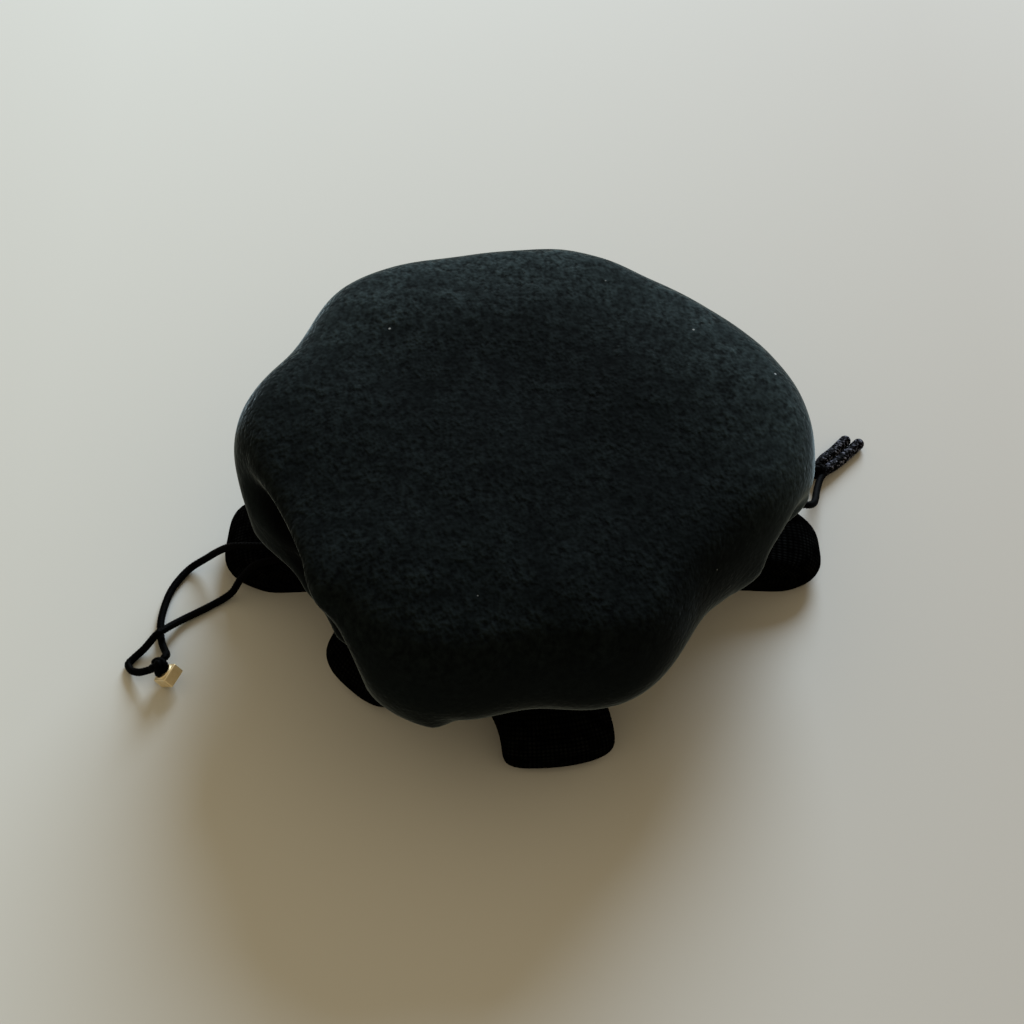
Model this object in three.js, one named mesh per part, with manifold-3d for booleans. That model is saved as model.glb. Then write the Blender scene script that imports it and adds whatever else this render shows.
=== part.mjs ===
// A drawstring pouch of short-nap cloth that lies mouth down. Its round panel is on top. The
// gathered neck and a ruffled collar of woven cloth are under it, and a braided drawstring comes
// out at each side. Millimetres, +Z up, z = 0 is the surface that it lies on, -Y is its front.
// Angles run anticlockwise from +X, seen from above.
import * as THREE from "three";
import Module from "manifold-3d";
import { ParametricGeometry } from "three/addons/geometries/ParametricGeometry.js";
import { mergeVertices } from "three/addons/utils/BufferGeometryUtils.js";

// Driving dimensions
const BODY_REACH = 59; // plan radius of the body between its bulges and dents
const BODY_WALL = 1.6;
const COLLAR_WALL = 1.3;
const WAIST_REACH = 27; // plan radius of the gathered neck
const SEAM_HEIGHT = 11.5; // where the body is sewn to the collar
const GAP = 0.3; // between pieces that touch
const PLEATS = 14; // small pleats round the neck
const PLEAT_DEPTH = 0.6; // half of a pleat's height at the neck
const PLEAT_RUN = 0.25; // share of a ruffle that the pleats run out over
const FOLDS_BEGIN = 6; // plan distance from the neck where the side's folds begin
const FOLDS_FULL = 16; // and where they have their full depth
const VALLEY_REACH = 36; // plan radius of the collar's hem between two ruffles
const RUFFLE_PINCH = 0.8; // how steep a ruffle's sides are, from 0 to 1
const CORD = 1.7; // cord diameter
const TAIL = 2.2; // diameter of a bare end, where the braid has loosened
const CORD_STEP = 2.2 * CORD;
const KNOT = 4.2; // knot diameter
const KNOT_SEAT = 1.7; // from the cap's mouth out to the middle of its knot
const CAP_SIDE = 4.4;
const CAP_HEIGHT = 2.6;
const CAP_BEVEL = 0.3;
const CAP_BORE = 3.4;
const CAP_BORE_DEPTH = 1.8;
const CAP_TILT = 40; // of the cap, which leans on a corner of its closed end
const CAP_YAW = 164;
const CAP_ROLL = -15; // of the cap about its own bore

// Mesh steps
const BODY_AROUND = 5 * PLEATS;
const BODY_ROWS = 18;
const COLLAR_STEPS = 12; // on each ruffle
const COLLAR_ROWS = 8;
const TURN_POINTS = 24;
const CORD_ARCS = 4; // on each half of a cord's section
const KNOT_AROUND = 12;
const KNOT_ROWS = 8;
const BORE_SIDES = 16;
const BEVEL_STEPS = 2;

// The body's section from the middle of the round panel to the neck: plan reach and height, then
// how much of the rim's bulges shows there, from 0 to 1, and how far the pleats move it.
const BODY_SECTIONS = [
  { place: "crown", reach: 0, height: 47.8, bulge: 0, pleat: 0 },
  { place: "panel", reach: 26, height: 47.6, bulge: 0.3, pleat: 0 },
  { place: "panel", reach: 41, height: 46.8, bulge: 0.65, pleat: 0 },
  { place: "shoulder", reach: 49.5, height: 45.6, bulge: 0.85, pleat: 0 },
  { place: "shoulder", reach: 54, height: 44, bulge: 0.93, pleat: 0 },
  { place: "rim", reach: 57.2, height: 40.4, bulge: 0.98, pleat: 0 },
  { place: "rim", reach: 58.8, height: 35.2, bulge: 1, pleat: 0 },
  { place: "rim", reach: 58.8, height: 29.8, bulge: 1, pleat: 0.1 },
  { place: "tuck", reach: 57, height: 25, bulge: 1, pleat: 0.2 },
  { place: "tuck", reach: 53, height: 20.6, bulge: 0.9, pleat: 0.4 },
  { place: "underside", reach: 46.5, height: 17, bulge: 0.65, pleat: 0.8 },
  { place: "underside", reach: 38.5, height: 15, bulge: 0.35, pleat: 1.1 },
  { place: "flare", reach: 31.5, height: 14.6, bulge: 0.1, pleat: 1 },
  { place: "waist", reach: WAIST_REACH, height: 13.2, bulge: 0, pleat: PLEAT_DEPTH },
  { place: "seam", reach: WAIST_REACH, height: SEAM_HEIGHT + GAP / 2, bulge: 0, pleat: PLEAT_DEPTH },
];

// The rim from above, a row for each bulge and each dent between bulges.
const RIM = [
  { angle: 9, reach: 61 },
  { angle: 57, reach: 56.8 },
  { angle: 80, reach: 59.2 },
  { angle: 97, reach: 58.4 },
  { angle: 130, reach: 61.3 },
  { angle: 152, reach: 57 },
  { angle: 171, reach: 60.4 },
  { angle: 207, reach: 54 },
  { angle: 248, reach: 62.6 },
  { angle: 273, reach: 57 },
  { angle: 289, reach: 58.7 },
  { angle: 318, reach: 50.4 },
];

// Folds that run down the side, each along a line from one angle and height to another. It stands
// out by so much at its two ends, or goes in where that is negative, and fades over its half width.
const SIDE_FOLDS = [
  {
    place: "left ridge",
    from: { angle: 190, height: 42, out: 1 },
    to: { angle: 226, height: 44, out: 3.5 },
    half: 4,
  },
  {
    place: "left pocket",
    from: { angle: 184, height: 36, out: 0 },
    to: { angle: 212, height: 34.5, out: -8 },
    half: 5,
  },
  {
    place: "left tuck",
    from: { angle: 207, height: 27.5, out: -3 },
    to: { angle: 230, height: 29, out: -9 },
    half: 7,
  },
  {
    place: "left lip",
    from: { angle: 192, height: 22, out: 1 },
    to: { angle: 222, height: 19, out: 1.5 },
    half: 4,
  },
  {
    place: "right tuck",
    from: { angle: 341, height: 24, out: -3 },
    to: { angle: 349, height: 26, out: -4 },
    half: 6,
  },
  {
    place: "right corner",
    from: { angle: 326, height: 25, out: 0.5 },
    to: { angle: 334, height: 25, out: 3 },
    half: 5,
  },
];

// The collar's section from the seam to the hem: how far out along the ruffle, and the height.
const COLLAR_SECTIONS = [
  { place: "seam", out: 0, height: SEAM_HEIGHT - GAP / 2 },
  { place: "waist", out: 0, height: 9.3 },
  { place: "flare", out: 0.12, height: 8.6 },
  { place: "top", out: 0.4, height: 9.6 },
  { place: "top", out: 0.68, height: 9.9 },
  { place: "shoulder", out: 0.9, height: 8.4 },
  { place: "front", out: 1, height: 5.2 },
  { place: "front", out: 0.985, height: 2.2 },
  { place: "hem", out: 0.91, height: 0 },
];

// The collar's ruffles from above, a row for each one, with how square each side of its tip is.
const RUFFLES = [
  { place: "right", angle: 1, reach: 64.4, before: 1.3, after: 1.15 },
  { place: "back right", angle: 47, reach: 50, before: 1.2, after: 1.2 },
  { place: "back", angle: 92, reach: 52, before: 1.3, after: 1.1 },
  { place: "back left", angle: 135, reach: 50, before: 1.1, after: 1.2 },
  { place: "left", angle: 177.5, reach: 64.4, before: 1.65, after: 1.15 },
  { place: "front left", angle: 220, reach: 50, before: 1.1, after: 1.3 },
  { place: "front", angle: 280, reach: 54, before: 1.7, after: 1.45 },
  { place: "front right", angle: 327, reach: 41, before: 1.2, after: 1.2 },
];

// Turns of the two cords round the neck, from one exit angle to the other.
const LEFT_TURN = { from: -170, to: 170, height: 12.3 };
const RIGHT_TURN = { from: 28, to: 368, height: 10.3 };

// Routes of the free strands, from the neck outwards.
const LEFT_KNOT_AT = [-75.6, -30.4, 4.95];
const LEFT_STRAND_BACK = [
  [-29.6, 5.2, 12.2], [-33, 3.8, 11.6], [-38, 1.6, 11.2], [-46, -1.6, 11.2], [-53, -3.2, 11.2],
  [-58, -3.1, 11.1], [-62.4, -2.3, 9.9], [-65.4, -1.2, 7.1], [-68.8, -0.3, 3.3], [-72.1, -1.1, 1.2],
  [-74.3, -3.9, 0.9], [-75.9, -7.3, 0.9], [-76.8, -11.1, 0.9], [-77.2, -15, 0.9], [-77, -18.3, 0.9],
  [-76.4, -21.1, 0.95], [-75.3, -24, 1.9], [-74.6, -25.9, 3.3], [-74.4, -27.6, 4.9],
];
const LEFT_STRAND_FRONT = [
  [-29.4, -6, 12.2], [-33, -6.2, 11.4], [-38, -6.2, 11.2], [-46, -6.4, 11.1], [-52, -6.6, 10.8],
  [-57, -7.2, 9.6], [-60.3, -7.9, 5.8], [-62.5, -8.6, 2.1], [-65.1, -10, 0.9], [-68.8, -12.6, 0.9],
  [-72.4, -15.2, 1.2], [-75, -18.2, 2.5], [-76.4, -20.1, 3.3], [-77.4, -21, 3.25], [-79.8, -23.2, 1.5],
  [-81.8, -25.2, 0.9], [-82.8, -26.8, 0.9], [-81.9, -28.7, 1.4], [-80.1, -30, 2.5], [-78.4, -30.6, 3.8],
];
const RIGHT_KNOT_AT = [66.8, 26.2, 2.15];
const RIGHT_STRAND_FRONT = [
  [29.4, 6, 10.4], [34, 7.2, 10.9], [42, 8.6, 11.1], [52, 9.6, 11], [58.5, 9.6, 10.4],
  [61.9, 10, 9.3], [63.8, 11.2, 8], [65.4, 13.6, 6.4], [66.3, 17.6, 4.5], [67, 21, 3.1], [67.6, 23.4, 2.4],
];
const RIGHT_STRAND_BACK = [
  [27.6, 11.8, 10.7], [30.5, 13.2, 11.2], [34, 14.8, 11.1], [39, 17, 10.3], [48, 20.6, 7], [57, 24, 3.6],
  [63.9, 25.9, 2.2],
];
const RIGHT_TAIL_FAR = [
  [67.9, 28.9, 2], [69.3, 30.3, 1.6], [71.4, 32.4, 1.3], [74.8, 36.4, 1.15],
];
const RIGHT_TAIL_NEAR = [
  [69.4, 26.9, 1.9], [70.8, 28.3, 1.5], [73.1, 30.6, 1.2], [77.8, 35.6, 1.15],
];

const napCloth = new THREE.MeshStandardMaterial({ color: 0x1b2022, roughness: 0.95, metalness: 0 });
const wovenCloth = new THREE.MeshStandardMaterial({ color: 0x0c0c0e, roughness: 0.85, metalness: 0 });
const braid = new THREE.MeshStandardMaterial({ color: 0x121216, roughness: 0.6, metalness: 0 });
const brass = new THREE.MeshStandardMaterial({ color: 0xb8954e, roughness: 0.3, metalness: 1 });

const pouch = new THREE.Group();

function addPiece(name, geometry, material) {
  const mesh = new THREE.Mesh(geometry, material);
  mesh.name = name;
  pouch.add(mesh);
  return mesh;
}

// A column of a section table at t, which runs from 0 on the first row to 1 on the last.
function sectionValue(rows, column, t) {
  const place = t * (rows.length - 1);
  const first = Math.min(Math.floor(place), rows.length - 2);
  const f = place - first;
  const at = (i) => rows[THREE.MathUtils.clamp(i, 0, rows.length - 1)][column];
  const [a, b, c, d] = [at(first - 1), at(first), at(first + 1), at(first + 2)];
  const linear = (c - a) * f;
  const square = (2 * a - 5 * b + 4 * c - d) * f * f;
  const cube = (3 * b - a - 3 * c + d) * f * f * f;
  return b + (linear + square + cube) / 2;
}

// Reach of the rim at an angle in degrees, eased from each bulge or dent to the next.
function rimReach(angle) {
  const turned = THREE.MathUtils.euclideanModulo(angle - RIM[0].angle, 360) + RIM[0].angle;
  const last = RIM.findLastIndex((row) => row.angle <= turned);
  const from = RIM[last];
  const to = RIM[(last + 1) % RIM.length];
  const span = THREE.MathUtils.euclideanModulo(to.angle - from.angle, 360);
  const share = (turned - from.angle) / span;
  return THREE.MathUtils.lerp(from.reach, to.reach, (1 - Math.cos(Math.PI * share)) / 2);
}

// How far the side's folds move it out at an angle in degrees and a height.
function foldShift(angle, height) {
  const millimetres = THREE.MathUtils.degToRad(1) * BODY_REACH;
  let shift = 0;
  for (const fold of SIDE_FOLDS) {
    const turn = THREE.MathUtils.euclideanModulo(angle - fold.from.angle + 180, 360) - 180;
    const here = new THREE.Vector2(turn * millimetres, height - fold.from.height);
    const span = (fold.to.angle - fold.from.angle) * millimetres;
    const along = new THREE.Vector2(span, fold.to.height - fold.from.height);
    const share = THREE.MathUtils.clamp(here.dot(along) / along.lengthSq(), 0, 1);
    const away = here.sub(along.multiplyScalar(share)).length() / fold.half;
    shift += THREE.MathUtils.lerp(fold.from.out, fold.to.out, share) * Math.exp(-away * away);
  }
  return shift;
}

function polar(reach, radians, height) {
  return new THREE.Vector3(reach * Math.cos(radians), reach * Math.sin(radians), height);
}

// Outer face of the body at t along its section.
function bodyFace(t, radians) {
  const angle = THREE.MathUtils.euclideanModulo(THREE.MathUtils.radToDeg(radians), 360);
  const height = sectionValue(BODY_SECTIONS, "height", t);
  const bulge = sectionValue(BODY_SECTIONS, "bulge", t) * (rimReach(angle) - BODY_REACH);
  const pleat = sectionValue(BODY_SECTIONS, "pleat", t) * Math.cos(PLEATS * radians);
  const reach = sectionValue(BODY_SECTIONS, "reach", t) + bulge + pleat;
  const free = THREE.MathUtils.smoothstep(reach - WAIST_REACH, FOLDS_BEGIN, FOLDS_FULL);
  return polar(reach + free * foldShift(angle, height), radians, height);
}

// The hem of the collar from above. Each ruffle has its own stretch of the way round, out from one
// valley and back to the next, and the angle moves slowly along its steep sides.
function hemPoint(radians) {
  const count = RUFFLES.length;
  const valley = (i) => {
    const before = RUFFLES[(i + count - 1) % count].angle;
    const step = THREE.MathUtils.euclideanModulo(RUFFLES[i % count].angle - before, 360);
    return RUFFLES[i % count].angle - step / 2;
  };
  const place = (THREE.MathUtils.euclideanModulo(radians, 2 * Math.PI) / (2 * Math.PI)) * count;
  const index = Math.min(Math.floor(place), count - 1);
  const ruffle = RUFFLES[index];
  const across = 2 * (place - index) - 1;
  const next = THREE.MathUtils.euclideanModulo(valley(index + 1) - ruffle.angle, 360);
  const half = across < 0 ? ruffle.angle - valley(index) : next;
  const side = Math.abs(across);
  const turn = side + (RUFFLE_PINCH * Math.sin(2 * Math.PI * side)) / (2 * Math.PI);
  const square = across < 0 ? ruffle.before : ruffle.after;
  const rise = (1 + Math.cos(Math.PI * side ** square)) / 2;
  const angle = ruffle.angle + Math.sign(across) * half * turn;
  const reach = THREE.MathUtils.lerp(VALLEY_REACH, ruffle.reach, rise);
  return { reach, radians: THREE.MathUtils.degToRad(angle) };
}

// Outer face of the collar at t along its section.
function collarFace(t, radians) {
  const hem = hemPoint(radians);
  const out = sectionValue(COLLAR_SECTIONS, "out", t);
  const pleat = Math.max(0, 1 - out / PLEAT_RUN) * PLEAT_DEPTH * Math.cos(PLEATS * hem.radians);
  const reach = WAIST_REACH + pleat + (hem.reach - WAIST_REACH) * out;
  return polar(reach, hem.radians, sectionValue(COLLAR_SECTIONS, "height", t));
}

// A wall of cloth under an outer face: down the face, across its lower edge and back up inside.
// A face with an open top is closed across its upper edge as well.
function clothWall(face, thickness, rows, around, openTop) {
  const step = 1e-3;
  const inside = (t, radians) => {
    const along = face(Math.min(t + step, 1), radians).sub(face(Math.max(t - step, 0), radians));
    const across = face(t, radians + step).sub(face(t, radians - step));
    const normal = along.cross(across).normalize();
    if (t === 0 && !openTop) normal.set(0, 0, 1);
    if (t === 1) normal.setZ(0).normalize();
    return face(t, radians).addScaledVector(normal, -thickness);
  };
  const outside = Array.from({ length: rows + 1 }, (_, i) => [face, i / rows]);
  const back = outside.map(([, t]) => [inside, t]).reverse();
  const loop = openTop ? [...outside, ...back, outside[0]] : [...outside, ...back];
  const stacks = loop.length - 1;
  const surface = (u, v, target) => {
    const [side, t] = loop[Math.round(v * stacks)];
    target.copy(side(t, 2 * Math.PI * (1 - (u % 1))));
  };
  return new ParametricGeometry(surface, around, stacks);
}

// A cord along a route, eight-sided, with a step about every two diameters.
function cordTube(route, diameter = CORD) {
  const path = new THREE.CatmullRomCurve3(route.map((p) => new THREE.Vector3(...p)));
  const steps = Math.round(path.getLength() / CORD_STEP);
  const section = new THREE.Shape().absarc(0, 0, diameter / 2, 0, 2 * Math.PI);
  return new THREE.ExtrudeGeometry(section, { extrudePath: path, steps, curveSegments: CORD_ARCS });
}

// Route of one turn of a cord, against the neck.
function neckRoute(turn) {
  const reach = WAIST_REACH + PLEAT_DEPTH + GAP + CORD / 2;
  return Array.from({ length: TURN_POINTS + 1 }, (_, i) => {
    const angle = THREE.MathUtils.lerp(turn.from, turn.to, i / TURN_POINTS);
    return polar(reach, THREE.MathUtils.degToRad(angle), turn.height).toArray();
  });
}

const wasm = await Module();
wasm.setup();

function solidOf(geometry) {
  const bare = geometry.clone();
  bare.deleteAttribute("normal");
  bare.deleteAttribute("uv");
  const merged = mergeVertices(bare);
  const vertProperties = merged.attributes.position.array;
  return new wasm.Manifold(new wasm.Mesh({ numProp: 3, vertProperties, triVerts: merged.index.array }));
}

function geometryOf(solid) {
  const mesh = solid.getMesh();
  const position = new THREE.BufferAttribute(mesh.vertProperties, 3);
  const geometry = new THREE.BufferGeometry().setAttribute("position", position);
  geometry.setIndex(new THREE.BufferAttribute(mesh.triVerts, 1));
  return geometry;
}

// The square cap has a blind bore for the knot in its mouth. Its origin is at the middle of the knot.
function endCap() {
  const half = CAP_SIDE / 2 - CAP_BEVEL;
  const outline = new THREE.Shape([
    new THREE.Vector2(-half, -half),
    new THREE.Vector2(half, -half),
    new THREE.Vector2(half, half),
    new THREE.Vector2(-half, half),
  ]);
  const block = new THREE.ExtrudeGeometry(outline, {
    depth: CAP_HEIGHT - 2 * CAP_BEVEL,
    bevelSize: CAP_BEVEL,
    bevelThickness: CAP_BEVEL,
    bevelSegments: BEVEL_STEPS,
  });
  block.translate(0, 0, CAP_BEVEL - CAP_HEIGHT - KNOT_SEAT);
  block.rotateZ(THREE.MathUtils.degToRad(CAP_ROLL));
  const bore = new THREE.CylinderGeometry(CAP_BORE / 2, CAP_BORE / 2, CAP_BORE_DEPTH * 2, BORE_SIDES);
  bore.rotateX(Math.PI / 2).translate(0, 0, -KNOT_SEAT);
  return geometryOf(solidOf(block).subtract(solidOf(bore)));
}

function knotBall() {
  return new THREE.SphereGeometry(KNOT / 2, KNOT_AROUND, KNOT_ROWS);
}

const collarAround = COLLAR_STEPS * RUFFLES.length;
addPiece("pouch_body", clothWall(bodyFace, BODY_WALL, BODY_ROWS, BODY_AROUND, false), napCloth);
addPiece("collar", clothWall(collarFace, COLLAR_WALL, COLLAR_ROWS, collarAround, true), wovenCloth);

addPiece("left_neck_turn", cordTube(neckRoute(LEFT_TURN)), braid);
addPiece("left_strand_back", cordTube(LEFT_STRAND_BACK), braid);
addPiece("left_strand_front", cordTube(LEFT_STRAND_FRONT), braid);
addPiece("left_knot", knotBall(), braid).position.set(...LEFT_KNOT_AT);
const cap = addPiece("end_cap", endCap(), brass);
cap.position.set(...LEFT_KNOT_AT);
cap.rotation.set(0, THREE.MathUtils.degToRad(CAP_TILT), THREE.MathUtils.degToRad(CAP_YAW), "ZYX");

addPiece("right_neck_turn", cordTube(neckRoute(RIGHT_TURN)), braid);
addPiece("right_strand_front", cordTube(RIGHT_STRAND_FRONT), braid);
addPiece("right_strand_back", cordTube(RIGHT_STRAND_BACK), braid);
addPiece("right_knot", knotBall(), braid).position.set(...RIGHT_KNOT_AT);
addPiece("right_tail_far", cordTube(RIGHT_TAIL_FAR, TAIL), braid);
addPiece("right_tail_near", cordTube(RIGHT_TAIL_NEAR, TAIL), braid);

export default pouch;
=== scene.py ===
import math

import bmesh
import bpy
from mathutils import Matrix, Vector, noise


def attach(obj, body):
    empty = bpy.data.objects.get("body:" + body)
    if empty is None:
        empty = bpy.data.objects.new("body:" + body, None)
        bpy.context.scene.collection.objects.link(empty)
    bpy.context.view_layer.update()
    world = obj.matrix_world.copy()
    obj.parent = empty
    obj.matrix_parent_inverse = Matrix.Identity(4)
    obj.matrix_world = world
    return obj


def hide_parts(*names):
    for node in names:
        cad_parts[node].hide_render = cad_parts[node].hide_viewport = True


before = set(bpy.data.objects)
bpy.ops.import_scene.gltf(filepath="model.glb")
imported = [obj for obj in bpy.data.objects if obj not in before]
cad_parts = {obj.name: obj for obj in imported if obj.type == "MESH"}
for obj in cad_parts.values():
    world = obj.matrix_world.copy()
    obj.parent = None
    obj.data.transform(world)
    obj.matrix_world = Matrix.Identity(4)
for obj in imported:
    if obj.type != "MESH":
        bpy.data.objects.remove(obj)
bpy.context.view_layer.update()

# Pouch body
# One soft shell of short-nap cloth, cut as a circle and gathered at the neck. It lies mouth down, so
# the round panel is on top, and the side rolls over a rim and tucks in underneath.
MM = 0.001
BODY_REACH = 59.0
BODY_WALL = 1.6
BODY_STEPS = 320
BODY_STEP = 0.95
WAIST_REACH = 27.0
SEAM_HEIGHT = 11.5
GAP = 0.3
MERGE = 1e-7  # points nearer than this are one, metres

PLEATS = 14  # close folds at the neck
PLEAT_DEPTH = 0.6
GATHERS = 19  # loose folds above the pleats, at the back and the sides
GATHERS_SHOW = (-0.7, 0.3)  # where they deepen, on the way from front, -1, to back, 1
GATHER_STRAY = 2.5  # radians that a gather strays from an even spacing
GATHER_DROP = 0.5  # share of a gather's swell that also goes down
UNEVENNESS = 0.6  # of the depth of pleats and gathers
UNEVEN_RING = (3, 1.7)  # reach and height of the ring in the noise that the unevenness is read from
STRAY_RING = (1.5, 4.2)  # and of the ring that the straying is read from
FOLDS_BEGIN = 6  # plan distance from the waist where the side's folds begin
FOLDS_FULL = 16  # and where they have their full depth
WAVES = ((22, 0.9), (9, 0.25))  # length and height of the soft waves in the cloth
WAVES_SHOW = (13, 30)  # heights that they grow between

# The section from the crown to the neck: plan reach and height, how much of the rim's bulges shows
# there, and how far the pleats and the loose gathers above them move it.
BODY_COLUMNS = ("reach", "height", "bulge", "pleat", "gather")
BODY_ROWS = (
    (0, 47.8, 0, 0, 0),
    (26, 47.6, 0.3, 0, 0),
    (41, 46.8, 0.65, 0, 0),
    (49.5, 45.6, 0.85, 0, 0),
    (54, 44, 0.93, 0, 0),
    (57.2, 40.4, 0.98, 0, 0),
    (58.8, 35.2, 1, 0, 0.15),
    (58.8, 29.8, 1, 0.1, 0.5),
    (57, 25, 1, 0.2, 1),
    (53, 20.6, 0.9, 0.4, 1.3),
    (46.5, 17, 0.65, 0.8, 1.2),
    (38.5, 15, 0.35, 1.1, 0.8),
    (31.5, 14.6, 0.1, 1, 0.3),
    (WAIST_REACH, 13.2, 0, PLEAT_DEPTH, 0),
    (WAIST_REACH, SEAM_HEIGHT + GAP / 2, 0, PLEAT_DEPTH, 0),
)
BODY_SECTIONS = dict(zip(BODY_COLUMNS, zip(*BODY_ROWS)))

# The rim from above: angle and reach of each bulge and of each dent between bulges.
RIM = (
    (9, 61), (57, 56.8), (80, 59.2), (97, 58.4), (130, 61.3), (152, 57),
    (171, 60.4), (207, 54), (248, 62.6), (273, 57), (289, 58.7), (318, 50.4),
)

# Folds down the side: angle, height and how far out at one end, the same at the other, half width.
SIDE_FOLDS = (
    ((190, 42, 1), (226, 44, 3.5), 4),
    ((186, 38, -1), (217, 36, -14), 4),
    ((190, 30, 0), (212, 29, -3), 5),
    ((207, 27.5, -3), (230, 29, -9), 7),
    ((192, 24, 1.5), (222, 20, 2), 4),
    ((341, 24, -3), (349, 26, -4), 6),
    ((326, 25, 0.5), (334, 25, 2), 5),
    ((354, 23, 1), (358, 25, 1.2), 2.5),
    ((247, 22, 1.2), (253, 22, 2), 4),
    ((256, 25, -0.8), (259, 18, -1.5), 3),
)


def smooth_value(values, t):
    """What a list of values gives at t, from 0 on its first to 1 on its last, on a smooth curve."""
    place = t * (len(values) - 1)
    first = min(int(place), len(values) - 2)
    f = place - first
    a, b, c, d = (values[min(max(first + i, 0), len(values) - 1)] for i in (-1, 0, 1, 2))
    linear_part = (c - a) * f
    square_part = (2 * a - 5 * b + 4 * c - d) * (f * f)
    cube_part = (3 * b - a - 3 * c + d) * (f * f * f)
    return b + (linear_part + square_part + cube_part) / 2


def eased(value, low, high):
    """How far a value is on its way from low to high, from 0 to 1, with a soft start and end."""
    share = min(max((value - low) / (high - low), 0), 1)
    return share * share * (3 - 2 * share)


def polar(reach, radians, height):
    return Vector((reach * math.cos(radians), reach * math.sin(radians), height))


def ring_noise(ring, radians):
    """Smooth noise round the pouch, which meets itself after a full turn."""
    reach, height = ring
    return noise.noise(polar(reach, radians, height))


def rim_reach(angle):
    """The rim's reach at an angle in degrees, eased from each bulge to the next dent."""
    for (start, reach), (end, next_reach) in zip(RIM, RIM[1:] + RIM[:1]):
        span = (end - start) % 360
        past = (angle - start) % 360
        if past < span:
            return reach + (next_reach - reach) * (1 - math.cos(math.pi * past / span)) / 2


def fold_shift(angle, height):
    """How far out the folds move the side at an angle in degrees and a height."""
    arc = math.radians(1) * BODY_REACH
    shift = 0
    for (angle_0, height_0, out_0), (angle_1, height_1, out_1), half in SIDE_FOLDS:
        turn = (angle - angle_0 + 180) % 360 - 180
        here = Vector((turn * arc, height - height_0))
        along = Vector(((angle_1 - angle_0) * arc, height_1 - height_0))
        share = min(max(here.dot(along) / along.length_squared, 0), 1)
        away = (here - along * share).length / half
        shift += (out_0 + (out_1 - out_0) * share) * math.exp(-away * away)
    return shift


def body_face(t, radians):
    """The cloth's outer face in millimetres, with soft waves and uneven gathers."""
    angle = math.degrees(radians) % 360
    value = {name: smooth_value(column, t) for name, column in BODY_SECTIONS.items()}
    uneven = 1 + UNEVENNESS * ring_noise(UNEVEN_RING, radians)
    reach = value["reach"] + value["bulge"] * (rim_reach(angle) - BODY_REACH)
    reach += value["pleat"] * uneven * math.cos(PLEATS * radians)
    gather = value["gather"] * eased(math.sin(radians), *GATHERS_SHOW) * uneven
    gather *= math.cos(GATHERS * radians + GATHER_STRAY * ring_noise(STRAY_RING, radians))
    reach += gather
    free = eased(reach, WAIST_REACH + FOLDS_BEGIN, WAIST_REACH + FOLDS_FULL)
    reach += free * fold_shift(angle, value["height"])
    point = polar(reach, radians, value["height"])
    waves = sum(rise * noise.noise(point / length) for length, rise in WAVES)
    lift = waves * eased(value["height"], *WAVES_SHOW) - GATHER_DROP * gather
    return point + Vector((0, 0, lift))


def even_places(curve, step):
    """Places from 0 to 1 on a curve that lie about a step apart."""
    fine = 4000
    points = [curve(i / fine) for i in range(fine + 1)]
    run = [0]
    for a, b in zip(points, points[1:]):
        run.append(run[-1] + (b - a).length)
    count = max(2, round(run[-1] / step))
    places = []
    i = 0
    for k in range(count):
        while run[i] < run[-1] * k / count:
            i += 1
        places.append(i / fine)
    return places + [1]


def spun_sleeve(places, steps):
    """A tube round Z with a ring of vertices at each place, ready to be laid on a form."""
    bm = bmesh.new()
    line = [bm.verts.new((1, 0, z)) for z in places]
    edges = [bm.edges.new(pair) for pair in zip(line, line[1:])]
    whole = 2 * math.pi
    bmesh.ops.spin(bm, geom=line + edges, axis=(0, 0, 1), angle=whole, steps=steps, use_merge=True)
    return bm


def close_up(bm):
    """Joins what meets, turns the faces outwards and shades them smooth."""
    bmesh.ops.remove_doubles(bm, verts=bm.verts, dist=MERGE)
    bmesh.ops.recalc_face_normals(bm, faces=bm.faces)
    for face in bm.faces:
        face.smooth = True


def lay_on(bm, form):
    """Moves each vertex of a sleeve to its place on a form in millimetres."""
    for vert in bm.verts:
        vert.co = form(vert.co.z, math.atan2(vert.co.y, vert.co.x)) * MM
    close_up(bm)


def as_piece(name, bm, material):
    mesh = bpy.data.meshes.new(name)
    bm.to_mesh(mesh)
    bm.free()
    mesh.materials.append(material)
    piece = bpy.data.objects.new(name, mesh)
    bpy.context.scene.collection.objects.link(piece)
    return piece


def add_wall(piece, millimetres):
    """Gives a sheet its thickness, inwards from its outer face."""
    wall = piece.modifiers.new("wall", "SOLIDIFY")
    wall.thickness = millimetres * MM
    wall.offset = -1


def linear(hex_colour):
    """An sRGB hex value as linear red, green, blue and alpha."""
    parts = [int(hex_colour[i:i + 2], 16) / 255 for i in (0, 2, 4)]
    return [x / 12.92 if x < 0.04045 else ((x + 0.055) / 1.055) ** 2.4 for x in parts] + [1]


def per_metre(millimetres):
    return 1 / (millimetres * MM)


def new_material(name):
    material = bpy.data.materials.new(name)
    material.use_nodes = True
    material.node_tree.nodes.clear()
    return material


def add_node(material, kind, inputs, **settings):
    """Adds a node with its settings, its links and its values, and gives its first output."""
    tree = material.node_tree
    node = tree.nodes.new(kind)
    for name, value in settings.items():
        setattr(node, name, value)
    for socket, value in inputs.items():
        if isinstance(value, bpy.types.NodeSocket):
            tree.links.new(value, node.inputs[socket])
        else:
            node.inputs[socket].default_value = value
    return node.outputs[0] if node.outputs else node


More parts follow.
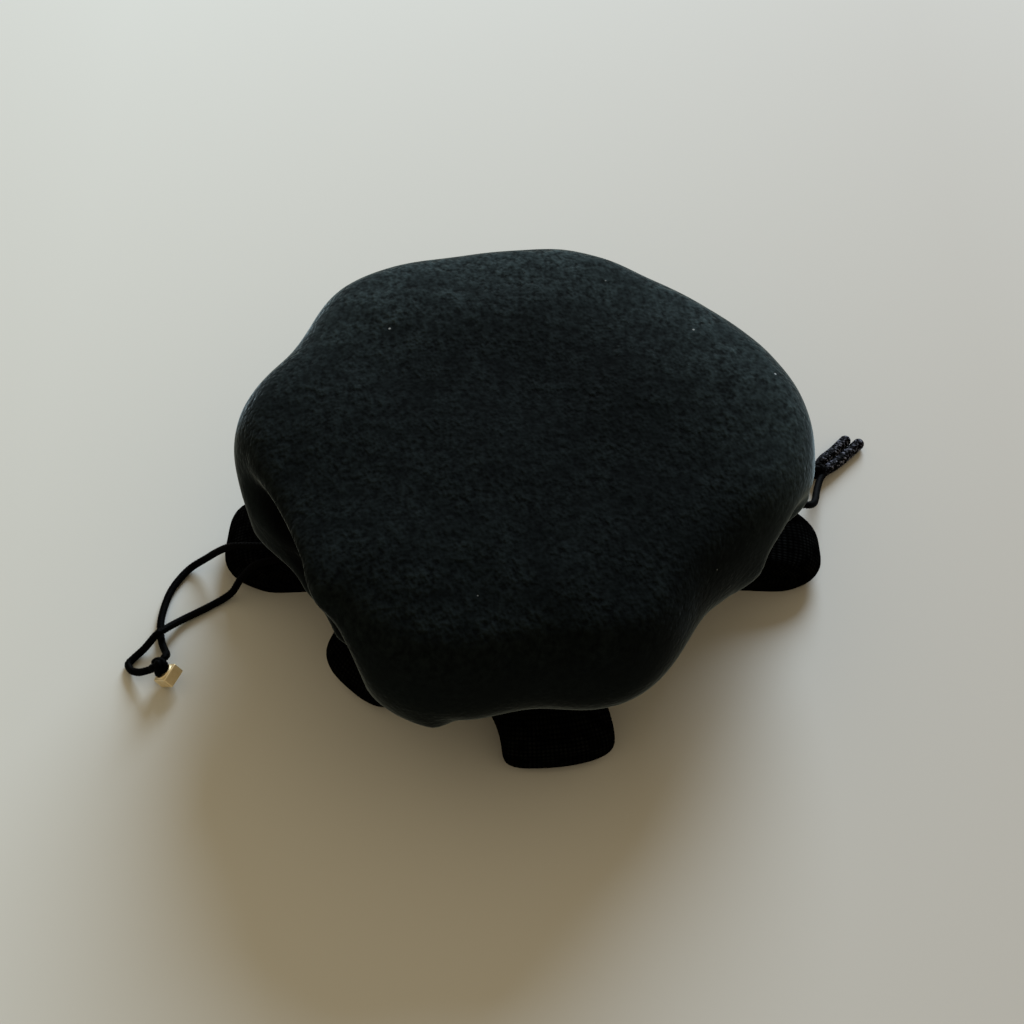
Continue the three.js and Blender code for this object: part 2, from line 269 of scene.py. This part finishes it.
# How far the pile stands up, from 0 to 1, with painted highlight along the far rim and the right edge
# and painted shade in the folds.
PILE_MIDDLE = 0.19  # on the middle of the panel
PILE_TO_LEFT = 0.0013  # more for each millimetre to the left
RIM_PAINTED_HIGHLIGHT = 0.81  # more along the far rim and the right edge, as painted highlight
RIM_BAND = (20, 60)  # plan reach that the painted rim highlight rises between
BACK_BAND = (-20, 40)  # places from front to back that it rises between
BACK_SLANT = 4  # millimetres to the right that count as one to the back
RIGHT_EDGE = 40  # past which each millimetre to the right counts as one to the back
CREASE_PAINTED_SHADE = (0.5, 3)  # depths of a fold between which painted shade darkens it to black


def brush_pile(bm):
    """Writes on each vertex how far the pile stands up there, with painted highlight along the far rim
    and the right edge. Painted shade darkens deep folds to black.
    """
    pile_and_painted_light = bm.verts.layers.float.new("pile_and_painted_light")
    for vert in bm.verts:
        x, y, z = vert.co / MM
        # Painted shade: deep folds are darkened to black.
        crease_shade = eased(-fold_shift(math.degrees(math.atan2(y, x)) % 360, z), *CREASE_PAINTED_SHADE)
        # Painted highlight: paler along the far rim and the right edge.
        back = y + x / BACK_SLANT + max(x - RIGHT_EDGE, 0)
        rim_highlight = eased(math.hypot(x, y), *RIM_BAND) * eased(back, *BACK_BAND)
        vert[pile_and_painted_light] = (PILE_MIDDLE - PILE_TO_LEFT * x + RIM_PAINTED_HIGHLIGHT * rim_highlight) * (1 - crease_shade)


TUFT = 1.3  # a real tuft is about 0.2, too fine to show, so it is drawn this coarse
TUFT_STRETCH = (1, 0.7, 1)  # longer along Y, the way that the pile was brushed
PILE_PATCH = 6  # across a patch where the pile lies one way
PILE_RELIEF = 0.32
PANEL_EDGE = (37, 47)  # heights between which the smoother side turns into the panel
LINT_APART = 11


def short_nap_suede():
    # Microfibre suede, brushed after dyeing. Its dense short pile looks soft and blue-black, with small
    # dark pits where the pile parts along its lay, a pale bloom at the edges and a few specks of lint.
    # Raised pile shows more of its paler tips; the same attribute carries painted highlight along the
    # far rim and the right edge and painted shade that turns deep folds black.
    suede = new_material("short_nap_suede")
    place = suede.node_tree.nodes.new("ShaderNodeTexCoord").outputs["Object"]
    brushed = add_node(suede, "ShaderNodeMapping", {"Vector": place, "Scale": TUFT_STRETCH})
    grain = add_node(suede, "ShaderNodeTexNoise", {
        "Vector": brushed, "Scale": per_metre(TUFT), "Detail": 1.3, "Roughness": 0.7,
    })
    tufts = add_node(suede, "ShaderNodeMapRange", {"Value": grain, "From Min": 0.3, "From Max": 0.7})
    lay = add_node(suede, "ShaderNodeTexNoise", {
        "Vector": place, "Scale": per_metre(PILE_PATCH), "Detail": 2,
    })
    shade = add_node(suede, "ShaderNodeMapRange", {
        "Value": lay, "From Min": 0.3, "From Max": 0.7, "To Min": 0.5, "To Max": 1.3,
    })
    nap = add_node(suede, "ShaderNodeMath", {0: tufts, 1: shade}, operation="MULTIPLY")
    # Painted highlight along the rim and painted shade in the folds come in with this attribute.
    pile_and_painted_light = suede.node_tree.nodes.new("ShaderNodeAttribute")
    pile_and_painted_light.attribute_name = "pile_and_painted_light"
    tips_and_painted_light = add_node(suede, "ShaderNodeMixRGB", {
        "Fac": pile_and_painted_light.outputs["Fac"], "Color1": linear("000000"), "Color2": linear("313c3e"),
    })
    height = add_node(suede, "ShaderNodeSeparateXYZ", {"Vector": place}).node.outputs["Z"]
    contrast = add_node(suede, "ShaderNodeMapRange", {
        "Value": height, "From Min": PANEL_EDGE[0] * MM, "From Max": PANEL_EDGE[1] * MM,
        "To Min": 0.2, "To Max": 0.8,
    })
    above = add_node(suede, "ShaderNodeMath", {0: nap, 1: 0.5}, operation="SUBTRACT")
    depth = add_node(suede, "ShaderNodeMath", {
        0: above, 1: contrast, 2: 0.5,
    }, operation="MULTIPLY_ADD")
    pile = add_node(suede, "ShaderNodeMixRGB", {
        "Fac": depth, "Color1": linear("000000"), "Color2": tips_and_painted_light,
    })
    speck = add_node(suede, "ShaderNodeTexVoronoi", {"Vector": place, "Scale": per_metre(LINT_APART)})
    lint = add_node(suede, "ShaderNodeMapRange", {
        "Value": speck, "From Min": 0.015, "From Max": 0.03, "To Min": 1, "To Max": 0,
    })
    colour = add_node(suede, "ShaderNodeMixRGB", {
        "Fac": lint, "Color1": pile, "Color2": linear("8f9496"),
    })
    relief = add_node(suede, "ShaderNodeBump", {
        "Strength": 1, "Distance": PILE_RELIEF * MM, "Height": depth,
    })
    shader = add_node(suede, "ShaderNodeBsdfPrincipled", {
        "Base Color": colour, "Roughness": 1, "Specular IOR Level": 0.06, "Normal": relief,
        "Specular Tint": linear("d8eef2"),
        "Sheen Weight": 0.31, "Sheen Roughness": 0.25, "Sheen Tint": linear("e0f2f6"),
    })
    add_node(suede, "ShaderNodeOutputMaterial", {"Surface": shader})
    return suede


body_mesh = spun_sleeve(even_places(lambda t: body_face(t, 0), BODY_STEP), BODY_STEPS)
lay_on(body_mesh, body_face)
brush_pile(body_mesh)
pouch_body = as_piece("soft_body", body_mesh, short_nap_suede())
add_wall(pouch_body, BODY_WALL)
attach(pouch_body, "root")
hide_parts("pouch_body")

# Collar
# A ruffle of woven cloth sewn to the body under the neck. The drawstrings gather it, so it spreads in
# rounded folds below the body and stands on its hem.
COLLAR_WALL = 1.3
COLLAR_STEPS = 480
COLLAR_STEP = 0.9
STEPPED_AT = 2.7  # angle of the section that the steps are measured on, radians
MAPPED_AT = 0.7  # place on the section where the way round the cloth is measured
VALLEY_REACH = 36.0
RUFFLE_PINCH = 0.8
PLEAT_RUN = 0.25  # share of a ruffle that the pleats run out over
RIPPLE = 7  # length of the soft waves in the cloth
RIPPLE_OUT = 0.35
RIPPLE_UP = 0.3
RIPPLES_SHOW = (0.1, 0.5)  # shares of the way out that they grow between
HEM_HOLDS = (1, 5)  # heights between which the hem stops holding them flat

# The section from the seam to the hem: how far out along the ruffle, and the height.
COLLAR_COLUMNS = ("out", "height")
COLLAR_ROWS = (
    (0, SEAM_HEIGHT - GAP / 2),
    (0, 9.3),
    (0.12, 8.6),
    (0.4, 9.6),
    (0.68, 9.9),
    (0.9, 8.4),
    (1, 5.2),
    (0.985, 2.2),
    (0.91, 0),
)
COLLAR_SECTIONS = dict(zip(COLLAR_COLUMNS, zip(*COLLAR_ROWS)))

# The ruffles from above: angle and reach of each one, and how square each side of its tip is.
RUFFLES = (
    (1, 64.4, 1.3, 1.15), (47, 50, 1.2, 1.2), (92, 52, 1.3, 1.1), (135, 50, 1.1, 1.2),
    (177.5, 64.4, 1.65, 1.15), (220, 50, 1.1, 1.3), (280, 54, 1.7, 1.45), (327, 41, 1.2, 1.2),
)


def hem_point(radians):
    """Reach and angle of the hem. Each ruffle has its own stretch of the way round."""
    count = len(RUFFLES)
    place = radians % (2 * math.pi) / (2 * math.pi) * count
    index = min(int(place), count - 1)
    angle, tip, before, after = RUFFLES[index]
    last = RUFFLES[index - 1][0]
    following = RUFFLES[(index + 1) % count][0]
    across = 2 * (place - index) - 1
    half = ((angle - last) % 360 if across < 0 else (following - angle) % 360) / 2
    side = abs(across)
    turn = side + RUFFLE_PINCH * math.sin(2 * math.pi * side) / (2 * math.pi)
    rise = (1 + math.cos(math.pi * side ** (before if across < 0 else after))) / 2
    reach = VALLEY_REACH + (tip - VALLEY_REACH) * rise
    return reach, math.radians(angle + math.copysign(half * turn, across))


def collar_face(t, radians):
    """The collar's outer face in millimetres, with soft waves in the cloth."""
    hem_reach, turned = hem_point(radians)
    out = smooth_value(COLLAR_SECTIONS["out"], t)
    height = smooth_value(COLLAR_SECTIONS["height"], t)
    pleat = max(0, 1 - out / PLEAT_RUN) * PLEAT_DEPTH * math.cos(PLEATS * turned)
    reach = WAIST_REACH + pleat + (hem_reach - WAIST_REACH) * out
    waves = noise.noise(polar(reach, turned, height) / RIPPLE) * eased(out, *RIPPLES_SHOW)
    lift = RIPPLE_UP * waves * eased(height, *HEM_HOLDS)
    return polar(reach + RIPPLE_OUT * waves, turned, max(0, height + lift))


def write_cloth_map(bm):
    """Maps a sleeve that isn't laid yet as cloth in metres: round the hem, and down from the seam."""
    whole = 2 * math.pi
    ring = [collar_face(MAPPED_AT, whole * i / COLLAR_STEPS) for i in range(COLLAR_STEPS + 1)]
    runs = [0]
    for a, b in zip(ring, ring[1:]):
        runs.append(runs[-1] + (b - a).length * MM)
    layer = bm.loops.layers.uv.new("cloth")
    for face in bm.faces:
        turns = [math.atan2(v.co.y, v.co.x) / whole % 1 for v in face.verts]
        wraps = max(turns) - min(turns) > 0.5
        for loop, turn in zip(face.loops, turns):
            turn = 1 if wraps and turn < 0.5 else turn
            drop = (hem_point(turn * whole)[0] - WAIST_REACH + SEAM_HEIGHT) * MM
            loop[layer].uv = (runs[round(turn * COLLAR_STEPS)], loop.vert.co.z * drop)


WEAVE = 0.9  # real threads are about 0.3 apart, too fine to show, so they are drawn this coarse
HIGHLIGHT_PATCH = 2.5
THREAD_RELIEF = 0.2


def black_plain_weave():
    # Plain-woven polyester, dyed black. Its round threads go over and under each other in a fine grid,
    # and the top of each thread is painted a little lighter in random patches, as a painted highlight
    # where it catches light.
    weave = new_material("black_plain_weave")
    cloth = add_node(weave, "ShaderNodeUVMap", {}, uv_map="cloth")
    threads = add_node(weave, "ShaderNodeTexVoronoi", {
        "Vector": cloth, "Scale": per_metre(WEAVE), "Randomness": 0,
    }, voronoi_dimensions="2D")
    crown = add_node(weave, "ShaderNodeMapRange", {
        "Value": threads, "From Min": 0.1, "From Max": 0.5, "To Min": 1, "To Max": 0,
    })
    highlight_noise = add_node(weave, "ShaderNodeTexNoise", {
        "Vector": cloth, "Scale": per_metre(HIGHLIGHT_PATCH), "Detail": 3,
    })
    highlight_patches = add_node(weave, "ShaderNodeMapRange", {"Value": highlight_noise, "From Min": 0.35, "From Max": 0.65})
    # Painted highlight on the thread tops.
    lit = add_node(weave, "ShaderNodeMath", {0: crown, 1: highlight_patches}, operation="MULTIPLY")
    colour = add_node(weave, "ShaderNodeMixRGB", {
        "Fac": lit, "Color1": linear("020202"), "Color2": linear("121313"),
    })
    relief = add_node(weave, "ShaderNodeBump", {
        "Strength": 0.7, "Distance": THREAD_RELIEF * MM, "Height": crown,
    })
    shader = add_node(weave, "ShaderNodeBsdfPrincipled", {
        "Base Color": colour, "Roughness": 1, "Specular IOR Level": 0, "Normal": relief,
    })
    add_node(weave, "ShaderNodeOutputMaterial", {"Surface": shader})
    return weave


collar_places = even_places(lambda t: collar_face(t, STEPPED_AT), COLLAR_STEP)
collar_mesh = spun_sleeve(collar_places, COLLAR_STEPS)
write_cloth_map(collar_mesh)
lay_on(collar_mesh, collar_face)
collar = as_piece("ruffled_collar", collar_mesh, black_plain_weave())
add_wall(collar, COLLAR_WALL)
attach(collar, "root")
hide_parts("collar")

# Neck turns
# Each drawstring goes once round the gathered neck, the left one above the right one. They are round
# braids of black polyester yarn.
CORD = 1.7
CORD_SIDES = 30
CORD_STEP = 0.16
TAIL = 2.7  # across a bare end, where the braid has loosened
LOOSENS = 2.0  # distance to either side over which it does
YARNS = 6
YARN_END = 0.4  # how blunt the ends of a yarn's pillow are, blunter towards 0
BRAID_LAY = 4.6
BRAID_DEPTH = 0.17
TURN_POINTS = 24
TURN_REACH = WAIST_REACH + PLEAT_DEPTH + GAP + CORD / 2
NECK_TURNS = {"left": (-170, 170, 12.3), "right": (28, 368, 10.3)}  # first and last angle, height


def pillow(along, around):
    """Height from 0 to 1 of the braid, where each yarn shows as a small pillow between two others."""
    first = YARNS * (around / (2 * math.pi) + along / BRAID_LAY)
    second = YARNS * (around / (2 * math.pi) - along / BRAID_LAY)
    across = first % 1
    lengthwise = second % 1
    if (math.floor(first) + math.floor(second)) % 2:
        across, lengthwise = lengthwise, across
    return math.sin(math.pi * across) * math.sin(math.pi * lengthwise) ** YARN_END


def cord_line(route):
    """Evenly spaced points on a smooth curve through a route, in metres."""
    points = [Vector(p) for p in route]
    places = even_places(lambda t: smooth_value(points, t), CORD_STEP * MM)
    return [smooth_value(points, t) for t in places]


def braided_cord(name, line, material, loose=0):
    """A round braid along a line, closed at both ends. A loose last stretch is thicker and frayed, with
    a round tip."""
    last = len(line) - 1
    ahead = [line[min(i + 1, last)] - line[max(i - 1, 0)] for i in range(last + 1)]
    side = ahead[0].orthogonal()
    frames = []
    for direction in ahead:
        side = (side - direction * side.dot(direction) / direction.length_squared).normalized()
        frames.append((side, direction.cross(side).normalized()))
    bm = spun_sleeve(range(-1, last + 2), CORD_SIDES)
    ridge = bm.verts.layers.float.new("ridge")
    frayed = bm.verts.layers.float.new("frayed")
    for vert in bm.verts:
        row = round(vert.co.z)
        around = math.atan2(vert.co.y, vert.co.x)
        i = min(max(row, 0), last)
        height = pillow(i * CORD_STEP, around)
        reach = CORD / 2 - BRAID_DEPTH * (1 - height)
        vert[ridge] = height
        if loose:
            to_end = (last - i) * CORD_STEP
            slack = eased(loose - to_end, -LOOSENS, LOOSENS)
            # Where the braid frays, the material paints its glints.
            vert[frayed] = height * slack
            reach += (TAIL - CORD) / 2 * slack
            reach *= math.sqrt(1 - (1 - min(to_end / reach, 1)) ** 2)
        if row != i:
            reach = 0
        u, v = frames[i]
        vert.co = line[i] + (u * math.cos(around) + v * math.sin(around)) * (reach * MM)
    close_up(bm)
    return as_piece(name, bm, material)


FIBRE = 0.25  # across a strand of fibres; single ones are too fine to show
FIBRE_RELIEF = 0.05
GLINT_FLECK = 0.6


def braided_polyester():
    # Polyester yarn, braided round. The yarns are smooth and a little shiny; their colour is painted a
    # shade lighter where they stand proud and black in the hollows between them, as painted highlight
    # and shade. At the bare ends, painted glints in small flecks stand for stray fibres catching the
    # light.
    braid = new_material("braided_polyester")
    ridge = braid.node_tree.nodes.new("ShaderNodeAttribute")
    ridge.attribute_name = "ridge"
    frayed = braid.node_tree.nodes.new("ShaderNodeAttribute")
    frayed.attribute_name = "frayed"
    place = braid.node_tree.nodes.new("ShaderNodeTexCoord").outputs["Object"]
    # Painted shade: black in the braid's hollows, a little lighter on the yarns.
    yarn_painted_shade = add_node(braid, "ShaderNodeMixRGB", {
        "Fac": ridge.outputs["Fac"], "Color1": linear("000000"), "Color2": linear("030304"),
    })
    glint_noise = add_node(braid, "ShaderNodeTexNoise", {
        "Vector": place, "Scale": per_metre(GLINT_FLECK), "Detail": 1,
    })
    glint = add_node(braid, "ShaderNodeMapRange", {"Value": glint_noise, "From Min": 0.5, "From Max": 0.66})
    # Painted glints on the frayed ends.
    painted_glint = add_node(braid, "ShaderNodeMath", {
        0: frayed.outputs["Fac"], 1: glint,
    }, operation="MULTIPLY")
    colour = add_node(braid, "ShaderNodeMixRGB", {
        "Fac": painted_glint, "Color1": yarn_painted_shade, "Color2": linear("7c7f8e"),
    })
    fibres = add_node(braid, "ShaderNodeTexNoise", {
        "Vector": place, "Scale": per_metre(FIBRE), "Detail": 2,
    })
    relief = add_node(braid, "ShaderNodeBump", {
        "Strength": 0.3, "Distance": FIBRE_RELIEF * MM, "Height": fibres,
    })
    shader = add_node(braid, "ShaderNodeBsdfPrincipled", {
        "Base Color": colour, "Roughness": 0.6, "Specular IOR Level": 0.02, "Normal": relief,
    })
    add_node(braid, "ShaderNodeOutputMaterial", {"Surface": shader})
    return braid


cord_braid = braided_polyester()


def neck_line(start, end, height):
    angles = [math.radians(start + (end - start) * i / TURN_POINTS) for i in range(TURN_POINTS + 1)]
    return cord_line([polar(TURN_REACH, a, height) * MM for a in angles])


for side, (start, end, height) in NECK_TURNS.items():
    turn = braided_cord(side + "_braid_turn", neck_line(start, end, height), cord_braid)
    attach(turn, "root")
    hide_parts(side + "_neck_turn")

# Left cord
# The two strands of the left drawstring come out over the left ruffle, cross on the surface and meet in
# an overhand knot that sits in the mouth of a small brass cord end.
LEFT_KNOT_AT = Vector((-0.0756, -0.0304, 0.00495))
LEFT_ROUTES = {
    "back": (
        (-0.0296, 0.0052, 0.0122), (-0.033, 0.0038, 0.0116), (-0.038, 0.0016, 0.0112),
        (-0.046, -0.0016, 0.0112), (-0.053, -0.0032, 0.0112), (-0.058, -0.0031, 0.0111),
        (-0.0624, -0.0023, 0.0099), (-0.0654, -0.0012, 0.0071), (-0.0688, -0.0003, 0.0033),
        (-0.0721, -0.0011, 0.0012), (-0.0743, -0.0039, 0.0009), (-0.0759, -0.0073, 0.0009),
        (-0.0768, -0.0111, 0.0009), (-0.0772, -0.015, 0.0009), (-0.077, -0.0183, 0.0009),
        (-0.0764, -0.0211, 0.00095), (-0.0753, -0.024, 0.0019), (-0.0746, -0.0259, 0.0033),
        (-0.0744, -0.0276, 0.0049), (-0.0752, -0.0293, 0.0051),
    ),
    "front": (
        (-0.0294, -0.006, 0.0122), (-0.033, -0.0062, 0.0114), (-0.038, -0.0062, 0.0112),
        (-0.046, -0.0064, 0.0111), (-0.052, -0.0066, 0.0108), (-0.057, -0.0072, 0.0096),
        (-0.0603, -0.0079, 0.0058), (-0.0625, -0.0086, 0.0021), (-0.0651, -0.01, 0.0009),
        (-0.0688, -0.0126, 0.0009), (-0.0724, -0.0152, 0.0012), (-0.075, -0.0182, 0.0025),
        (-0.0764, -0.0201, 0.0033), (-0.0774, -0.021, 0.00325), (-0.0798, -0.0232, 0.0015),
        (-0.0818, -0.0252, 0.0009), (-0.0828, -0.0268, 0.0009), (-0.0819, -0.0287, 0.0014),
        (-0.0801, -0.03, 0.0025), (-0.0784, -0.0306, 0.0038), (-0.0768, -0.0306, 0.0046),
    ),
}
KNOT_RING = 0.82  # radius of the middle of the knot's coils
KNOT_COIL = 0.45
KNOT_RISE = 0.9
KNOT_ROUNDS = 2  # times round the middle
KNOT_WEAVES = 3  # times in and out, and over and under
KNOT_POINTS = 40
CAP_TILT = 40
CAP_YAW = 164
CAP_ROLL = -15


def leaning(tilt, yaw):
    return Matrix.Rotation(math.radians(yaw), 4, "Z") @ Matrix.Rotation(math.radians(tilt), 4, "Y")


def overhand_knot(name, centre, turn):
    """The closed path of an overhand knot, pulled tight to a ball."""
    path = []
    for i in range(KNOT_POINTS):
        a = 2 * math.pi * i / KNOT_POINTS
        reach = KNOT_RING + KNOT_COIL * math.cos(KNOT_WEAVES * a)
        coil = polar(reach, KNOT_ROUNDS * a, KNOT_RISE * math.sin(KNOT_WEAVES * a))
        path.append(centre + turn @ coil * MM)
    knot = braided_cord(name, cord_line(path + path[:1]), cord_braid)
    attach(knot, "root")
    return knot


left_knot = overhand_knot("left_tied_knot", LEFT_KNOT_AT, leaning(CAP_TILT, CAP_YAW))
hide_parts("left_knot")

# Cord end
# A small square cap of polished brass, cast with a round bore in its mouth and a raised rim round it.
# It sits under the left knot and leans on a corner of its closed end.
KNOT_SEAT = 1.7  # from the cap's mouth out to the middle of its knot
CAP_SIDE = 4.4
CAP_HEIGHT = 2.6
CAP_BEVEL = 0.3
CAP_BORE = 3.4
CAP_BORE_DEPTH = 1.8
CAP_RIM = 0.18
BEVEL_STEPS = 4
BORE_SIDES = 32

# The raised rim and the bore: distance out from the bore's wall, and height over the cap's mouth.
CAP_MOUTH = ((CAP_RIM, 0.2), (CAP_RIM / 2, 0.3), (0, 0.2), (0, -CAP_BORE_DEPTH))

RUBBING = 0.8  # across a rubbing mark
RUBBING_RELIEF = 0.05


def polished_brass():
    # Cast brass, polished and lightly handled: a warm pale gold with faint rubbing marks.
    brass = new_material("polished_brass")
    place = brass.node_tree.nodes.new("ShaderNodeTexCoord").outputs["Object"]
    rubbed = add_node(brass, "ShaderNodeTexNoise", {
        "Vector": place, "Scale": per_metre(RUBBING), "Detail": 4,
    })
    rough = add_node(brass, "ShaderNodeMapRange", {"Value": rubbed, "To Min": 0.5, "To Max": 0.65})
    colour = add_node(brass, "ShaderNodeMixRGB", {
        "Fac": rubbed, "Color1": linear("e6cf9a"), "Color2": linear("f8ebcc"),
    })
    relief = add_node(brass, "ShaderNodeBump", {
        "Strength": 0.15, "Distance": RUBBING_RELIEF * MM, "Height": rubbed,
    })
    shader = add_node(brass, "ShaderNodeBsdfPrincipled", {
        "Base Color": colour, "Metallic": 1, "Roughness": rough, "Normal": relief,
    })
    add_node(brass, "ShaderNodeOutputMaterial", {"Surface": shader})
    return brass


cap_mesh = bmesh.new()
bmesh.ops.create_cube(cap_mesh, size=1)
bmesh.ops.scale(cap_mesh, verts=cap_mesh.verts, vec=(CAP_SIDE, CAP_SIDE, CAP_HEIGHT))
bmesh.ops.bevel(cap_mesh, geom=cap_mesh.edges, offset=CAP_BEVEL, affect="EDGES",
                segments=BEVEL_STEPS, profile=0.5, material=-1)
bmesh.ops.translate(cap_mesh, verts=cap_mesh.verts, vec=(0, 0, -KNOT_SEAT - CAP_HEIGHT / 2))
top = max(cap_mesh.faces, key=lambda face: face.calc_center_median().z + face.normal.z)
top_edges = list(top.edges)
bmesh.ops.delete(cap_mesh, geom=[top], context="FACES_ONLY")
ring = bmesh.ops.create_circle(cap_mesh, segments=BORE_SIDES, radius=CAP_BORE / 2 + CAP_RIM)
bmesh.ops.translate(cap_mesh, verts=ring["verts"], vec=(0, 0, -KNOT_SEAT))
rim_edges = list({edge for vert in ring["verts"] for edge in vert.link_edges})
bmesh.ops.bridge_loops(cap_mesh, edges=top_edges + rim_edges)
for out, rise in CAP_MOUTH:
    grown = bmesh.ops.extrude_edge_only(cap_mesh, edges=rim_edges)["geom"]
    rim_edges = [item for item in grown if isinstance(item, bmesh.types.BMEdge)]
    for vert in (item for item in grown if isinstance(item, bmesh.types.BMVert)):
        vert.co = polar(CAP_BORE / 2 + out, math.atan2(vert.co.y, vert.co.x), rise - KNOT_SEAT)
bmesh.ops.contextual_create(cap_mesh, geom=rim_edges)
bmesh.ops.recalc_face_normals(cap_mesh, faces=cap_mesh.faces)
cap_turn = leaning(CAP_TILT, CAP_YAW) @ Matrix.Rotation(math.radians(CAP_ROLL), 4, "Z")
cap_place = Matrix.Translation(LEFT_KNOT_AT) @ cap_turn @ Matrix.Scale(MM, 4)
bmesh.ops.transform(cap_mesh, verts=cap_mesh.verts, matrix=cap_place)
for face in cap_mesh.faces:
    face.smooth = True
cord_end = as_piece("brass_cord_end", cap_mesh, polished_brass())
cord_end.modifiers.new("shading", "WEIGHTED_NORMAL")
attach(cord_end, "root")
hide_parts("end_cap")

for place, route in LEFT_ROUTES.items():
    line = cord_line(route)
    strand = braided_cord("left_cord_" + place, line, cord_braid)
    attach(strand, "root")
    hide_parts("left_strand_" + place)

# Right cord
# The two strands of the right drawstring come out over the right ruffle, run down to a small overhand
# knot on the surface and end in two bare tails.
RIGHT_KNOT_AT = Vector((0.0668, 0.0262, 0.00215))
RIGHT_KNOT_TILT = 12
RIGHT_KNOT_YAW = 50
RIGHT_ROUTES = {
    ("front", "near"): (
        (0.0294, 0.006, 0.0104), (0.034, 0.0072, 0.0109), (0.042, 0.0086, 0.0111),
        (0.052, 0.0096, 0.011), (0.0585, 0.0096, 0.0104), (0.0619, 0.0099, 0.0093),
        (0.0635, 0.0112, 0.008), (0.0645, 0.0136, 0.0064), (0.0654, 0.0176, 0.0045),
        (0.0663, 0.021, 0.0031), (0.0671, 0.0234, 0.0024), (0.0682, 0.0254, 0.002),
        (0.0694, 0.0269, 0.0019), (0.0708, 0.0283, 0.0016), (0.0731, 0.0306, 0.0014),
        (0.0779, 0.0357, 0.0014),
    ),
    ("back", "far"): (
        (0.0276, 0.0118, 0.0107), (0.0305, 0.0132, 0.0112), (0.034, 0.0148, 0.0111),
        (0.039, 0.017, 0.0103), (0.048, 0.0206, 0.007), (0.057, 0.024, 0.0036),
        (0.0639, 0.0259, 0.0022), (0.0664, 0.0275, 0.002), (0.0679, 0.029, 0.002),
        (0.0692, 0.0304, 0.0017), (0.0713, 0.0326, 0.0014), (0.0749, 0.0367, 0.0014),
    ),
}
TAIL_LENGTHS = {"near": 13, "far": 11}

right_turn = leaning(RIGHT_KNOT_TILT, RIGHT_KNOT_YAW)
right_knot = overhand_knot("right_tied_knot", RIGHT_KNOT_AT, right_turn)
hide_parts("right_knot")
for (place, tail), route in RIGHT_ROUTES.items():
    line = cord_line(route)
    strand = braided_cord("right_cord_" + place, line, cord_braid, TAIL_LENGTHS[tail])
    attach(strand, "root")
    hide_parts("right_strand_" + place, "right_tail_" + tail)

# Floor, light and camera
# A plain pale floor, a soft window behind the pouch and a little to its right, and a camera that looks
# down on the pouch at the photograph's angle.
FLOOR_SIZE = 3.0
FLOOR_FADE = 0.11  # to either side of the middle, over which the floor's tone changes
ROOM_GLOW = 0.46
WINDOW_AT = Vector((0.34, 1.1, 0.6))
WINDOW_SIZE = 0.7
WINDOW_WATTS = 24.5
LENS = 72.0
CAMERA_AT = (-0.0023, -0.2786, 0.3507)
CAMERA_TILT = 40


def pale_board():
    # Board, painted matt: pale and even, a little darker and warmer towards the right.
    board = new_material("pale_board")
    place = board.node_tree.nodes.new("ShaderNodeTexCoord").outputs["Object"]
    across = add_node(board, "ShaderNodeSeparateXYZ", {"Vector": place})
    fade = add_node(board, "ShaderNodeMapRange", {
        "Value": across, "From Min": -FLOOR_FADE, "From Max": FLOOR_FADE,
    })
    colour = add_node(board, "ShaderNodeMixRGB", {
        "Fac": fade, "Color1": linear("cfd0cb"), "Color2": linear("bab7b1"),
    })
    shader = add_node(board, "ShaderNodeBsdfPrincipled", {"Base Color": colour, "Roughness": 0.9})
    add_node(board, "ShaderNodeOutputMaterial", {"Surface": shader})
    return board


floor_mesh = bmesh.new()
bmesh.ops.create_grid(floor_mesh, x_segments=1, y_segments=1, size=FLOOR_SIZE / 2)
floor = as_piece("floor", floor_mesh, pale_board())

world = bpy.data.worlds.new("room")
bpy.context.scene.world = world
world.use_nodes = True
glow = world.node_tree.nodes["Background"]
glow.inputs["Color"].default_value = linear("ffeac3")
glow.inputs["Strength"].default_value = ROOM_GLOW

window_light = bpy.data.lights.new("window", "AREA")
window_light.shape = "DISK"
window_light.size = WINDOW_SIZE
window_light.energy = WINDOW_WATTS
window_light.color = linear("dceeff")[:3]
window = bpy.data.objects.new("window", window_light)
window.location = WINDOW_AT
window.rotation_euler = (-WINDOW_AT).to_track_quat("-Z", "Y").to_euler()
bpy.context.scene.collection.objects.link(window)

camera_data = bpy.data.cameras.new("camera")
camera_data.lens = LENS
camera = bpy.data.objects.new("camera", camera_data)
camera.location = CAMERA_AT
camera.rotation_euler = (math.radians(CAMERA_TILT), 0, 0)
bpy.context.scene.collection.objects.link(camera)
bpy.context.scene.camera = camera
bpy.context.scene.view_settings.view_transform = "Standard"
